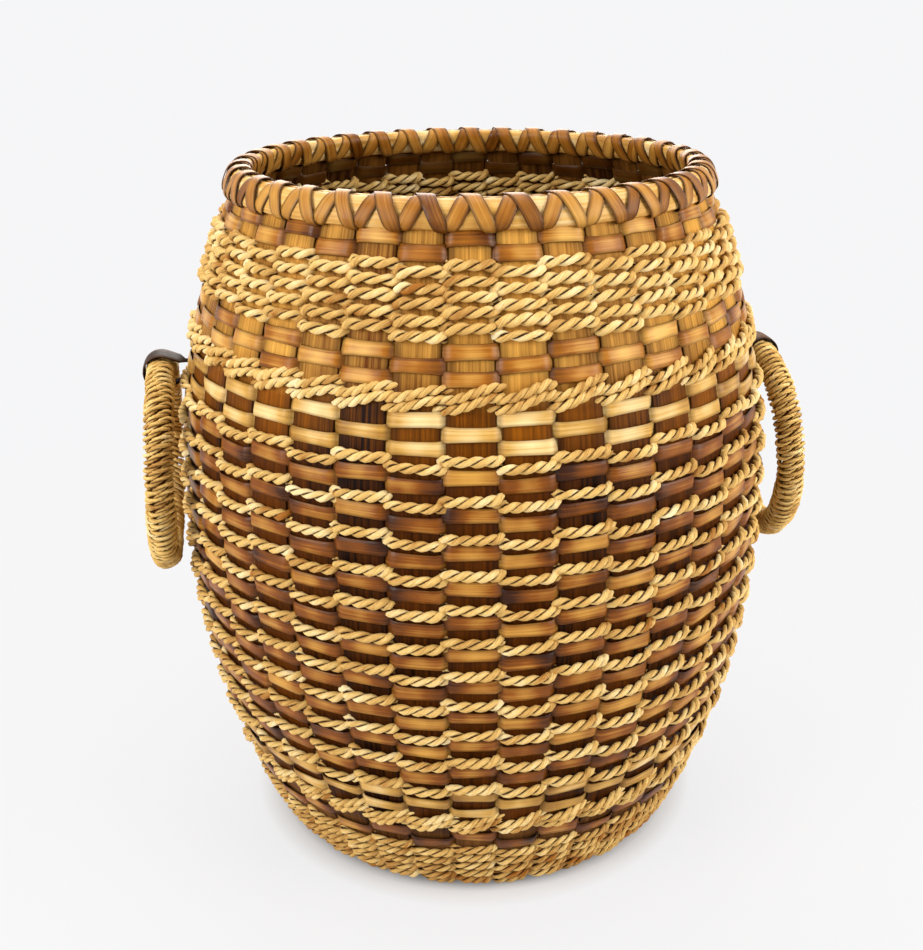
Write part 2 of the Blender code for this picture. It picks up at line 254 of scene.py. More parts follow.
def block_grid(block, length, girth, is_closed, number, count):
    """The faces of one of count blocks, and their corners' places on the grain map and the baking map."""
    stations, around, _ = block.shape
    steps = stations if is_closed else stations - 1
    i, j = np.meshgrid(np.arange(steps), np.arange(around), indexing="ij")
    i, j = i.reshape(-1), j.reshape(-1)
    along, across = length / steps, girth / around
    grain = face_corners(i * along, (i + 1) * along, j * across, (j + 1) * across)
    low, high, row, rows = fold_map(steps, around)
    deep = (1 - MAP_MARGIN) / rows / count
    base = (row[i] / rows + number) / count
    bake = face_corners(low[i], high[i], base + deep * j / around, base + deep * (j + 1) / around)
    return grid_faces(stations, around, i, j), grain, bake


def end_outlines(blocks):
    """The outlines that close the two ends of each open strip."""
    ends = []
    first = 0
    for block in blocks:
        stations, around, _ = block.shape
        last = first + (stations - 1) * around
        ends.append(np.arange(first + around - 1, first - 1, -1))
        ends.append(np.arange(last, last + around))
        first += stations * around
    return ends


def make_mesh(name, places, quads, ends, maps, marks):
    mesh = bpy.data.meshes.new(name)
    corners = np.concatenate([quads.reshape(-1)] + ends).astype(np.int32)
    sizes = np.concatenate([np.full(len(quads), 4), [len(end) for end in ends]]).astype(np.int32)
    mesh.vertices.add(len(places))
    mesh.vertices.foreach_set("co", places.astype(np.float32).reshape(-1))
    mesh.loops.add(len(corners))
    mesh.loops.foreach_set("vertex_index", corners)
    mesh.polygons.add(len(sizes))
    mesh.polygons.foreach_set("loop_start", (np.cumsum(sizes) - sizes).astype(np.int32))
    mesh.update(calc_edges=True)
    spare = np.zeros((len(corners) - 4 * len(quads), 2))
    for map_name, loops in maps.items():
        layer = mesh.uv_layers.new(name=map_name)
        loops = np.vstack([np.vstack(loops).reshape(-1, 2), spare])
        layer.data.foreach_set("uv", loops.astype(np.float32).reshape(-1))
    for mark_name, values in marks.items():
        mark = mesh.attributes.new(mark_name, "FLOAT", "POINT")
        mark.data.foreach_set("value", np.concatenate(values).astype(np.float32))
    mesh.shade_smooth()
    return mesh


def grid_piece(name, points, length, girth, is_closed, marks, material, body="basket"):
    """A tube or strip: points are stations x outline x 3, or a list of such, one for each ply.

    Length and girth are its real sizes. A mark is one value, or values that fit the points.
    """
    marks = {**marks, "piece": RANDOM.uniform(*PIECE_MARK_RANGE)}
    blocks = points if isinstance(points, list) else [points]
    faces = []
    maps = {"grain": [], "OFBake": []}
    values = {key: [] for key in marks}
    start = 0
    for number, block in enumerate(blocks):
        for key, value in marks.items():
            mark = value[number] if isinstance(value, list) else value
            values[key].append(np.broadcast_to(mark, block.shape[:2]).reshape(-1))
        quads, grain, bake = block_grid(block, length, girth, is_closed, number, len(blocks))
        faces.append(start + quads)
        maps["grain"].append(grain)
        maps["OFBake"].append(bake)
        start += block.shape[0] * block.shape[1]
    places = np.vstack([block.reshape(-1, 3) for block in blocks])
    ends = [] if is_closed else end_outlines(blocks)
    mesh = make_mesh(name, places, np.vstack(faces), ends, maps, values)
    mesh.materials.append(material)
    piece = bpy.data.objects.new(name, mesh)
    bpy.context.scene.collection.objects.link(piece)
    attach(piece, body)
    return piece


# A split-wood strip's section, point by point: across and out, both as shares of half the strip
STRIP_ACROSS = np.array([-1.0, -0.94, -0.5, 0.0, 0.5, 0.94, 1.0, 0.94, 0.0, -0.94])
STRIP_OUT = np.array([0.0, 0.8, 1.0, 1.0, 1.0, 0.8, 0.0, -0.8, -1.0, -0.8])
# Marks on the same points: how near the cut edges they are, and how much on the inner side
STRIP_EDGE = np.array([1.0, 0.75, 0.0, 0.0, 0.0, 0.75, 1.0, 0.8, 0.3, 0.8])[None, :]
STRIP_INSIDE = np.array([0.5, 0.0, 0.0, 0.0, 0.0, 0.0, 0.5, 1.0, 1.0, 1.0])[None, :]


def strip_points(centres, out, across, half_widths, half_thickness, crown=0.0, tilt=None):
    """A strip along centres, raised by crown in its middle and turned by tilt about its own length."""
    if tilt is not None:
        sine, cosine = np.sin(tilt)[:, None], np.cos(tilt)[:, None]
        out, across = cosine * out + sine * across, cosine * across - sine * out
    side = STRIP_ACROSS[None, :, None] * half_widths[:, None, None]
    height = STRIP_OUT * half_thickness + crown * (1 - STRIP_ACROSS ** 2)
    return centres[:, None, :] + across[:, None, :] * side + out[:, None, :] * height[None, :, None]


def cord_points(centres, out, up, radius, turns, phase, sides=6):
    """Two plies twisted round a line. Returns the two tubes and how deep each point lies between them."""
    count = len(centres)
    steps = to_next(centres)
    share = (np.cumsum(steps) - steps) / steps.sum()
    radius = radius * np.ones(count) * (1 + rough_random(count, PLY_SIZE_DRIFT))
    unevenness = smooth_random(PLY_TURN_DRIFT, share)
    round_ply = np.arange(sides) / sides * math.tau
    tubes = []
    for ply in (0, 1):
        turn = phase + math.tau * turns * share + math.pi * ply + unevenness
        away = np.cos(turn)[:, None] * out + np.sin(turn)[:, None] * up
        middle = centres + away * (PLY_OFFSET * radius)[:, None]
        along = unit(np.roll(middle, -1, 0) - np.roll(middle, 1, 0))
        away = unit(away - along * (away * along).sum(1, keepdims=True))
        beside = np.cross(along, away)
        tubes.append(middle[:, None, :] + (PLY_RADIUS * radius)[:, None, None] * (
            np.cos(round_ply)[None, :, None] * away[:, None, :]
            + np.sin(round_ply)[None, :, None] * beside[:, None, :]))
    depth = np.clip(0.5 - np.cos(round_ply), 0, 1)
    return tubes, depth[None, :]


def cord_tones(tubes, share, darkening=0.0):
    return [(0.5 - darkening + smooth_random(CORD_TONE, share))[:, None] for _ in tubes]


# Materials
GRAIN_DEPTH = 0.00025
SHEEN = 0.22
UPRIGHT_SHEEN = 0.07
STRAP_SHEEN = 0.08
# How much darker the strips' inner side is: partly stain, partly painted shade
INNER_STAIN_AND_SHADE = 0.80
EDGE_SHADE = 0.32
# The heights between which an upright's colour, stain and in the belly painted shade, turns to that of the
# shoulder, the neck or the foot
SHOULDER_BAND = (0.238, 0.258)
NECK_BAND = (0.268, 0.284)
FOOT_BAND = (0.060, 0.010)


class Nodes:
    """Builds a material's or a world's nodes: a socket that is given gets linked, other values are set."""

    def __init__(self, owner):
        owner.use_nodes = True
        self.owner = owner
        self.tree = owner.node_tree
        self.tree.nodes.clear()

    def add(self, kind, inputs=None, **settings):
        node = self.tree.nodes.new(kind)
        for key, value in settings.items():
            setattr(node, key, value)
        for key, value in (inputs or {}).items():
            self.put(node.inputs[key], value)
        return node

    def put(self, socket, value):
        if isinstance(value, bpy.types.NodeSocket):
            self.tree.links.new(value, socket)
        elif isinstance(value, tuple) and len(value) == 3 and socket.type == "RGBA":
            socket.default_value = (*value, 1.0)
        else:
            socket.default_value = value

    def mark(self, name):
        return self.add("ShaderNodeAttribute", attribute_name=name).outputs["Fac"]

    def place(self):
        return self.add("ShaderNodeTexCoord").outputs["Object"]

    def maths(self, operation, first, second):
        return self.add("ShaderNodeMath", {0: first, 1: second}, operation=operation).outputs[0]

    def weighed(self, *parts):
        """The sum of values, each times its weight."""
        total = None
        for value, weight in parts:
            part = self.maths("MULTIPLY", value, weight)
            total = part if total is None else self.maths("ADD", total, part)
        return total

    def blend(self, share, first, second):
        node = self.add("ShaderNodeMix", data_type="RGBA")
        self.put(node.inputs[0], share)
        self.put(node.inputs[6], first)
        self.put(node.inputs[7], second)
        return node.outputs[2]

    def noise(self, vector, scale, detail, roughness):
        return self.add("ShaderNodeTexNoise", {"Vector": vector, "Scale": scale, "Detail": detail,
                                               "Roughness": roughness}).outputs["Fac"]

    def spread(self, value, low, high, new_low=0.0, new_high=1.0):
        return self.add("ShaderNodeMapRange", {"Value": value, "From Min": low, "From Max": high,
                                               "To Min": new_low, "To Max": new_high}).outputs["Result"]

    def grain_vector(self, along, across):
        """Stretched coordinates, other ones for each piece: how many waves there are in a metre."""
        split = self.add("ShaderNodeSeparateXYZ", {0: self.add("ShaderNodeUVMap", uv_map="grain").outputs[0]})
        return self.add("ShaderNodeCombineXYZ", {
            0: self.maths("MULTIPLY", split.outputs[0], along),
            1: self.maths("MULTIPLY", split.outputs[1], across),
            2: self.mark("piece")}).outputs[0]

    def tone(self):
        """The piece's own tone: 0 where it is neither lighter nor darker than the rest."""
        return self.maths("SUBTRACT", self.mark("tone"), 0.5)

    def seen(self):
        """1 for the rays that show the backdrop itself, to the camera or in a mirror or glass."""
        rays = self.add("ShaderNodeLightPath").outputs
        mirrored = self.maths("MAXIMUM", rays["Is Glossy Ray"], rays["Is Transmission Ray"])
        return self.maths("MAXIMUM", rays["Is Camera Ray"], mirrored)

    def shader(self, kind, inputs):
        return self.add(kind, inputs).outputs[0]

    def output(self, shader, kind="ShaderNodeOutputMaterial"):
        self.add(kind, {0: shader})
        return self.owner

    def finish(self, colour, roughness, depth, height, specular):
        """Creases are dull: depth raises the roughness."""
        normal = self.add("ShaderNodeBump", {"Height": height, "Distance": GRAIN_DEPTH}).outputs[0]
        return self.output(self.shader("ShaderNodeBsdfPrincipled", {
            "Base Color": colour, "Roughness": self.maths("MAXIMUM", roughness, depth), "Normal": normal,
            "Specular IOR Level": specular}))


def wood(name, dark, middle, light, grain=1100.0, gloss=0.42, edge=0.55, sheen=SHEEN):
    """Split wood: fine grain along the strip and cloudy stain; cut edges and inner side darker, partly the
    wood and partly painted shade; painted shade where the depth mark is set; the tone mark carries the flats'
    painted crest highlights.
    """
    nodes = Nodes(bpy.data.materials.new(name))
    fine = nodes.noise(nodes.grain_vector(14.0, grain), scale=1.0, detail=4.0, roughness=0.65)
    broad = nodes.noise(nodes.grain_vector(5.0, grain / 5), scale=1.0, detail=2.0, roughness=0.55)
    cloud = nodes.noise(nodes.place(), scale=32.0, detail=3.0, roughness=0.6)
    mixed = nodes.weighed((fine, 0.40), (broad, 0.30), (cloud, 0.55), (nodes.tone(), 0.34))
    dark_part = nodes.spread(mixed, 0.38, 0.62)
    light_part = nodes.spread(mixed, 0.60, 0.86)
    colour = nodes.blend(light_part, nodes.blend(dark_part, dark, middle), light)
    # The dark colour used for painted shade and for dark cut edges
    shade = tuple(EDGE_SHADE * part for part in dark)
    depth = nodes.mark("depth")
    # Cut edges darker: partly the wood's own edge, partly painted shade from the neighbouring strips
    colour = nodes.blend(nodes.maths("MULTIPLY", nodes.mark("edge"), edge), colour, shade)
    # Inner side darker: partly stain, partly painted shade
    colour = nodes.blend(nodes.maths("MULTIPLY", nodes.mark("inside"), INNER_STAIN_AND_SHADE), colour, shade)
    # Painted shade where the depth mark is set: where strips dive into the gaps, and on the strap's arms
    colour = nodes.blend(depth, colour, shade)
    roughness = nodes.spread(cloud, 0.3, 0.7, gloss - 0.07, gloss + 0.12)
    return nodes.finish(colour, roughness, depth, fine, sheen)


def cord(name, dark, middle, light, crease_shade, gloss=0.62):
    """Twisted plant fibre: fine strands along each ply, with painted shade between the plies."""
    nodes = Nodes(bpy.data.materials.new(name))
    fine = nodes.noise(nodes.grain_vector(60.0, 2600.0), scale=1.0, detail=3.0, roughness=0.7)
    cloud = nodes.noise(nodes.place(), scale=60.0, detail=3.0, roughness=0.6)
    mixed = nodes.weighed((fine, 0.5), (cloud, 0.5), (nodes.tone(), 0.22))
    colour = nodes.blend(nodes.spread(mixed, 0.30, 0.52), dark, middle)
    colour = nodes.blend(nodes.spread(mixed, 0.52, 0.72), colour, light)
    depth = nodes.spread(nodes.mark("depth"), 0.50, 1.00)
    # Painted shade in the creases between the plies
    colour = nodes.blend(depth, colour, crease_shade)
    roughness = nodes.spread(fine, 0.2, 0.8, gloss + 0.1, gloss - 0.08)
    return nodes.finish(colour, roughness, depth, fine, SHEEN)


def upright_wood():
    """Near-black in the belly, partly stain and partly painted shade between the rows; brown at the shoulder,
    tan at the neck and foot.
    """
    nodes = Nodes(bpy.data.materials.new("upright_wood"))
    fine = nodes.noise(nodes.grain_vector(14.0, 1000.0), scale=1.0, detail=4.0, roughness=0.65)
    cloud = nodes.noise(nodes.place(), scale=26.0, detail=3.0, roughness=0.6)
    stain = nodes.spread(nodes.weighed((fine, 0.55), (cloud, 0.45), (nodes.tone(), 0.30)), 0.35, 0.70)
    height = nodes.mark("height")
    # The belly's near-black is partly stain and partly painted shade between the rows
    belly = nodes.blend(stain, (0.003, 0.0004, 0.000), (0.130, 0.034, 0.002))
    shoulder = nodes.blend(stain, (0.010, 0.0015, 0.000), (0.300, 0.090, 0.003))
    neck = nodes.blend(stain, (0.130, 0.032, 0.001), (0.800, 0.425, 0.085))
    foot = nodes.blend(stain, (0.120, 0.040, 0.008), (0.420, 0.220, 0.080))
    colour = nodes.blend(nodes.spread(height, *SHOULDER_BAND), belly, shoulder)
    colour = nodes.blend(nodes.spread(height, *NECK_BAND), colour, neck)
    colour = nodes.blend(nodes.spread(height, *FOOT_BAND), colour, foot)
    # Painted shade along the edges, beside the slots where the rows shade them
    colour = nodes.blend(nodes.maths("MULTIPLY", nodes.mark("edge"), 0.7), colour, (0.010, 0.003, 0.001))
    # Inner side turns to the belly's colour: partly stain, partly painted shade
    colour = nodes.blend(nodes.maths("MULTIPLY", nodes.mark("inside"), INNER_STAIN_AND_SHADE), colour, belly)
    roughness = nodes.spread(cloud, 0.3, 0.7, 0.45, 0.60)
    return nodes.finish(colour, roughness, nodes.mark("inside"), fine, UPRIGHT_SHEEN)


BROWN_FLAT = wood("brown_flat", (0.035, 0.007, 0.000), (0.240, 0.068, 0.003), (0.640, 0.340, 0.065),
                  gloss=0.34)
HONEY_FLAT = wood("honey_flat", (0.090, 0.022, 0.001), (0.345, 0.120, 0.009), (0.730, 0.420, 0.098),
                  gloss=0.32)
PALE_FLAT = wood("pale_flat", (0.240, 0.100, 0.012), (0.590, 0.340, 0.075), (0.900, 0.710, 0.370),
                 gloss=0.32)
HOOP_WOOD = wood("hoop_wood", (0.300, 0.115, 0.014), (0.660, 0.375, 0.095), (0.950, 0.790, 0.460),
                 grain=700.0, gloss=0.38, edge=0.3)
LASHING_WOOD = wood("lashing_wood", (0.090, 0.023, 0.001), (0.330, 0.125, 0.013), (0.610, 0.330, 0.070),
                    gloss=0.36, edge=0.9)
STRAP_WOOD = wood("strap_wood", (0.040, 0.016, 0.008), (0.105, 0.050, 0.027), (0.200, 0.115, 0.070),
                  gloss=0.50, edge=0.95, sheen=STRAP_SHEEN)
CORE_WOOD = wood("core_wood", (0.120, 0.050, 0.015), (0.260, 0.120, 0.040), (0.420, 0.230, 0.090),
                 gloss=0.5)
UPRIGHT_WOOD = upright_wood()
# The last colour of each cord is the painted shade in the creases between its plies
STRAW_CORD = cord("straw_cord", (0.330, 0.118, 0.011), (0.740, 0.495, 0.160), (0.950, 0.830, 0.520),
                  (0.030, 0.008, 0.001))
RING_CORD = cord("ring_cord", (0.300, 0.110, 0.014), (0.850, 0.570, 0.180), (0.970, 0.860, 0.540),
                 (0.040, 0.012, 0.001))


# Rows of the wall
def weave(angle, squareness, outside_facing):
    """1 outside an upright and -1 inside the next. The upright that faces the camera is number 27."""
    swing = np.cos((angle / STEP - 0.5) * math.pi) * (-1 if outside_facing else 1)
    return np.tanh(squareness * swing) / math.tanh(squareness), np.abs(swing)


def row_angles(per_upright):
    """The stations' angles round the basket, and their shares of the way round."""
    angle = np.arange(UPRIGHTS * per_upright) / (UPRIGHTS * per_upright) * math.tau
    return angle, angle / math.tau


def flat_row(name, height, width, outside_facing, material):
    angle, share = row_angles(FLAT_STATIONS_PER_UPRIGHT)
    wave, openness = weave(angle, FLAT_SQUARENESS, outside_facing)
    place, out, up = wall_frame(angle, height + smooth_random(FLAT_DRIFT, share))
    reach = FLAT_REACH + smooth_random(FLAT_REACH_DRIFT, share)
    centres = place + out * (wave * reach)[:, None]
    swell = 1 + FLAT_GAP_SWELL * (1 - openness) ** 2
    half_widths = width / 2 * swell * (1 + smooth_random(FLAT_WIDTH_DRIFT, share))
    tilt = smooth_random(FLAT_TILT, share)
    points = strip_points(centres, out, up, half_widths, FLAT_THICKNESS / 2, FLAT_CROWN, tilt)
    # Painted highlight: lighter tone on each outward crest, and painted shade darker towards the ends
    crest_highlight = CREST_HIGHLIGHT * (openness ** 3 - CREST_LEVEL) * (wave > 0)
    # Flats below the belly are darker towards the bottom
    darkening = FLAT_BOTTOM_DARKENING * max(0.0, 1 - height / BELLY_HEIGHT)
    tone = 0.5 - darkening + smooth_random(FLAT_TONE, share) + crest_highlight
    # Painted shade where the flat dives behind the next upright
    gap = np.clip(FLAT_GAP_START - openness, 0, 1) * FLAT_GAP_SHADE
    marks = {"tone": tone[:, None], "edge": STRIP_EDGE, "inside": STRIP_INSIDE, "depth": gap[:, None]}
    return grid_piece(name, points, wall_round(height), FLAT_GIRTH * width, True, marks, material)


def cord_row(name, height, radius, outside_facing):
    angle, share = row_angles(STATIONS_PER_UPRIGHT)
    wave, openness = weave(angle, CORD_SQUARENESS, outside_facing)
    place, out, up = wall_frame(angle, height + smooth_random(CORD_DRIFT, share))
    reach = CORD_REACH * radius / CORD_USUAL_RADIUS
    centres = place + out * (wave * reach)[:, None]
    swell = 1 + CORD_GAP_SWELL * (1 - openness) ** 2
    size = radius * swell * (1 + smooth_random(CORD_SIZE_DRIFT, share))
    length = wall_round(height) * CORD_SLACK
    lay = CORD_LAY * RANDOM.uniform(*CORD_LAY_RANGE) * radius / CORD_USUAL_RADIUS
    tubes, depth = cord_points(centres, out, up, size, round(length / lay), RANDOM.uniform(0, math.tau))
    # Cords at the foot are darker towards the floor
    darkening = FOOT_BOTTOM_DARKENING * max(0.0, 1 - height / FOOT_REACH)
    marks = {"tone": cord_tones(tubes, share, darkening), "depth": depth}
    return grid_piece(name, tubes, length, math.tau * PLY_RADIUS * radius, True, marks, STRAW_CORD)


def twined_row(name, height, rise, reach, radius):
    """Two strands of doubled cord that swap sides between the uprights, always leaning the same way."""
    made = []
    angle, share = row_angles(STATIONS_PER_UPRIGHT)
    for strand in (0, 1):
        phase = (angle / STEP - 0.5 + strand) * math.pi
        shift = smooth_random(TWINED_DRIFT, share)
        for twin in (-1, 1):
            place, out, up = wall_frame(angle, height + shift)
            centres = place + out * (reach * np.cos(phase))[:, None]
            centres = centres + up * (rise * np.sin(phase) + twin * radius * TWIN_SPACING)[:, None]
            length = wall_round(height) * TWINED_SLACK
            turns = round(length / (CORD_LAY * RANDOM.uniform(*TWINED_LAY_RANGE)))
            size = radius * (1 + smooth_random(CORD_SIZE_DRIFT, share))
            tubes, depth = cord_points(centres, out, up, size, turns, RANDOM.uniform(0, math.tau))
            marks = {"tone": cord_tones(tubes, share), "depth": depth}
            number = 2 * strand + (twin + 1) // 2 + 1
            made.append(grid_piece(f"{name}_{number}", tubes, length, math.tau * PLY_RADIUS * radius, True,
                                   marks, STRAW_CORD))
    return made


# Heights of the rows from the floor up, in metres
FINE_CORDS = 10
LOWEST_FOOT_CORD = 0.0048
FOOT_CORD_STEP = 0.0035
LOWEST_NECK_CORD = 0.2984
NECK_CORD_STEP = 0.00305
FOOT_CORDS = [LOWEST_FOOT_CORD + FOOT_CORD_STEP * number for number in range(FINE_CORDS)]
LOWER_BROWNS = [0.0405, 0.0465]
LOWER_TWINED = 0.0560
LOWER_PALES = [0.0645, 0.0702, 0.0758]
LOWEST_PAIR = 0.0825
PAIR_STEP = 0.01665
PAIRS = 11
PAIR_DROPS = {"cord_even": 0.0, "cord_odd": 0.0033, "flat_even": 0.0067, "flat_odd": 0.0113}
UPPER_PALES = [0.2538, 0.2598, 0.2659]
UPPER_TWINED = 0.2742
SHOULDER_BROWNS = [0.2817, 0.2871, 0.2926]
NECK_CORDS = [LOWEST_NECK_CORD + NECK_CORD_STEP * number for number in range(FINE_CORDS)]
RIM_BROWNS = [0.3306, 0.3368]

# Widths of the flat rows, and radii, rises and reaches of the cord rows
LOWER_BROWN_WIDTH = 0.0066
LOWER_PALE_WIDTH = 0.0060
BELLY_EVEN_WIDTH = 0.0067
BELLY_ODD_WIDTH = 0.0068
UPPER_PALE_WIDTH = 0.0063
SHOULDER_BROWN_WIDTH = 0.0068
RIM_BROWN_WIDTH = 0.0074
FOOT_CORD_RADIUS = 0.0020
BELLY_CORD_RADIUS = 0.0024
NECK_CORD_RADIUS = 0.0026
TWINED_RISE = 0.0026
LOWER_TWINED_REACH = 0.0029
UPPER_TWINED_REACH = 0.0030
LOWER_TWINED_RADIUS = 0.0022
UPPER_TWINED_RADIUS = 0.0023


def cord_band(name, heights, radius):
    """Cord rows that start inside the upright in front and take turns."""
    return [(height, cord_row(f"{name}_{number + 1:02d}", height, radius, number % 2 == 1))
            for number, height in enumerate(heights)]


def flat_band(name, heights, width, outside_facing, material):
    """Flat rows that take turns. outside_facing says whether the first is outside the upright in front."""
    return [(height, flat_row(f"{name}_{number + 1}", height, width, (number % 2 == 0) == outside_facing,
                              material))
            for number, height in enumerate(heights)]


def twined_band(name, height, reach, radius):
    return [(height, piece) for piece in twined_row(name, height, TWINED_RISE, reach, radius)]


def belly_rows():
    """Pairs of cord rows with pairs of flat rows between them."""
    rows = []
    for pair in range(PAIRS):
        top = LOWEST_PAIR + PAIR_STEP * pair
        tag = f"{pair + 1:02d}"
        height = {row: top - drop for row, drop in PAIR_DROPS.items()}
        for row, outside_facing in (("cord_even", True), ("cord_odd", False)):
            rows.append((height[row], cord_row(f"belly_{row}_{tag}", height[row], BELLY_CORD_RADIUS,
                                               outside_facing)))
        if pair == 0:
            continue
        for row, width, outside_facing in (("flat_even", BELLY_EVEN_WIDTH, True),
                                           ("flat_odd", BELLY_ODD_WIDTH, False)):
            rows.append((height[row], flat_row(f"belly_{row}_{tag}", height[row], width, outside_facing,
                                               BROWN_FLAT)))
    return rows


def make_rows():
    """Every row, each with its height."""
    rows = cord_band("foot_cord", FOOT_CORDS, FOOT_CORD_RADIUS)
    rows += flat_band("lower_brown_flat", LOWER_BROWNS, LOWER_BROWN_WIDTH, False, BROWN_FLAT)
    rows += twined_band("lower_twined_cord", LOWER_TWINED, LOWER_TWINED_REACH, LOWER_TWINED_RADIUS)
    rows += flat_band("lower_pale_flat", LOWER_PALES, LOWER_PALE_WIDTH, True, PALE_FLAT)
    rows += belly_rows()
    rows += flat_band("upper_pale_flat", UPPER_PALES, UPPER_PALE_WIDTH, False, PALE_FLAT)
    rows += twined_band("upper_twined_cord", UPPER_TWINED, UPPER_TWINED_REACH, UPPER_TWINED_RADIUS)
    rows += flat_band("shoulder_brown_flat", SHOULDER_BROWNS, SHOULDER_BROWN_WIDTH, True, HONEY_FLAT)
    rows += cord_band("neck_cord", NECK_CORDS, NECK_CORD_RADIUS)
    rows += flat_band("rim_brown_flat", RIM_BROWNS, RIM_BROWN_WIDTH, False, HONEY_FLAT)
    return rows


def hand_over_courses(rows):
    """The CAD courses are hidden, and the rows stand in their place."""
    for node in frame["nodes"]:
        if "weaver" in node:
            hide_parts(node)


# Uprights and base
def outermost_place(count):
    """The place of the last of count splints, counted in splints from the middle."""
    return (count - 1) / 2


def splint_pitch(count):
    """How far apart count splints lie under the base."""
    outermost = outermost_place(count)
    return TURN_RADIUS * math.sin(outermost * STEP) / outermost


def splint_arms(along, aside, start_azimuth, azimuth, pitch):
    """A splint's two ends, from the base's edge to the rim: centres, out and across, then the widths."""
    wall = np.vstack([OUTLINE[:-1:SPLINT_POINT_STEP], OUTLINE[-1]])
    turned = np.sqrt(np.clip((wall[:, 1] - BASE_MIDDLE) / (WALL_START - BASE_MIDDLE), 0, 1))
    angle = start_azimuth + (azimuth - start_azimuth) * turned
    face = azimuth * turned
    slope = unit(np.gradient(wall, axis=0))
    base_cover = (pitch - BASE_GAP) / pitch
    bump = np.clip(np.sin(math.pi * turned), 0, 1) ** TURN_BUMP_SQUARENESS
    cover = base_cover + (SPLINT_COVER - base_cover) * turned + TURN_COVER * bump
    widths = (pitch + (wall[:, 0] * STEP - pitch) * turned) * cover
    arms = []
    for facing in (1, -1):
        centres = (along[None, :] * (wall[:, 0] * np.cos(angle))[:, None] * facing
                   + aside[None, :] * (wall[:, 0] * np.sin(angle))[:, None])
        centres[:, 2] = wall[:, 1]
        level = along[None, :] * np.cos(face)[:, None] * facing + aside[None, :] * np.sin(face)[:, None]
        across = aside[None, :] * np.cos(face)[:, None] - along[None, :] * np.sin(face)[:, None] * facing
        out = level * slope[:, 1:2]
        out[:, 2] = -slope[:, 0]
        arms.append((centres, out, across))
    return arms, widths


def splint_base(along, aside, offset, half_length, parity, other_count):
    """The part of a splint under the base, which goes over and under the splints that cross it."""
    other_pitch = splint_pitch(other_count)
    other_outermost = outermost_place(other_count)
    crossing = np.arange(-half_length + BASE_END_GAP, half_length - BASE_END_GAP,
                         other_pitch / BASE_POINTS_PER_CROSSING)
    swing = np.cos((crossing / other_pitch + other_outermost) * math.pi)
    fade = np.clip((other_outermost + BASE_WAVE_FADE - np.abs(crossing) / other_pitch) * 2, 0, 1)
    wave = np.sign(swing) * np.abs(swing) ** BASE_WAVE_SQUARENESS * parity * fade
    centres = along[None, :] * crossing[:, None] + aside[None, :] * offset
    centres[:, 2] = BASE_MIDDLE + BASE_WAVE * wave
    out = np.tile([0.0, 0.0, -1.0], (len(crossing), 1))
    return centres, out, np.tile(aside, (len(crossing), 1))


def splint(tag, number, heading, count, other_count):
    """One splint from rim to rim, woven through the others under the base."""
    node = f"base_splint_{tag}_{number + 1:02d}"
    place = number - outermost_place(count)
    pitch = splint_pitch(count)
    offset = place * pitch
    start_azimuth = math.asin(offset / TURN_RADIUS)
    along = np.array([math.cos(heading), math.sin(heading), 0.0])
    aside = np.array([-math.sin(heading), math.cos(heading), 0.0])
    parity = 1 if (number + (0 if tag == "x" else 1)) % 2 == 0 else -1
    (outer, inner), widths = splint_arms(along, aside, start_azimuth, place * STEP, pitch)
    base = splint_base(along, aside, offset, TURN_RADIUS * math.cos(start_azimuth), parity, other_count)
    centres, out, across = [np.vstack([inner[part][::-1], base[part], outer[part]]) for part in range(3)]
    half = np.concatenate([widths[::-1], np.full(len(base[0]), pitch - BASE_GAP), widths]) / 2
    points = strip_points(centres, out, across, half, SPLINT_THICKNESS / 2)
    length = np.linalg.norm(np.diff(centres, axis=0), axis=1).sum()
    marks = {"tone": 0.5 + RANDOM.normal(0, SPLINT_TONE), "edge": STRIP_EDGE, "inside": STRIP_INSIDE,
             "height": centres[:, 2:]}
    piece = grid_piece(f"upright_pair_{tag}_{number + 1:02d}", points, length, SPLINT_GIRTH, False, marks,
                       UPRIGHT_WOOD)
    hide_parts(node)


def make_splints():
    for number in range(SPLINTS_ALONG_X):
        splint("x", number, 0.0, SPLINTS_ALONG_X, SPLINTS_ALONG_Y)
    for number in range(SPLINTS_ALONG_Y):
        splint("y", number, math.pi / 2, SPLINTS_ALONG_Y, SPLINTS_ALONG_X)


# Rim
HOOP_NEAR = 0.0008
HOOP_THICKNESS = 0.0044
HOOP_STATIONS = 228
HOOP_GIRTH = 0.030
HOOP_THICKNESS_DRIFT = 0.03
HOOP_DRIFT = 0.00015
HOOP_TONE = 0.15
# A hoop's outer half: share of its thickness, and share of its height, from the bottom up
HOOP_FACE = [(0.0, 0.0), (0.35, 0.0), (0.72, 0.07), (0.95, 0.25), (1.0, 0.5), (0.95, 0.75), (0.72, 0.93),
             (0.35, 1.0), (0.0, 1.0)]
LASHING_POINTS = 28
LASHING_WIDTH = 0.0070
LASHING_THICKNESS = 0.0005
LASHING_GIRTH = 0.018
LASHING_CROWN = 0.0001
LASHING_NEAR = 0.00065
LASHING_LAYER = 0.0006
LASHING_DROP = 0.0003
GAP_REACH = 0.09
GAP_NARROWING = 0.60
GAP_SHADE = 0.7
LASHING_DRIFT = 0.0001
LASHING_WIDTH_DRIFT = 0.06
LASHING_TONE = 0.28


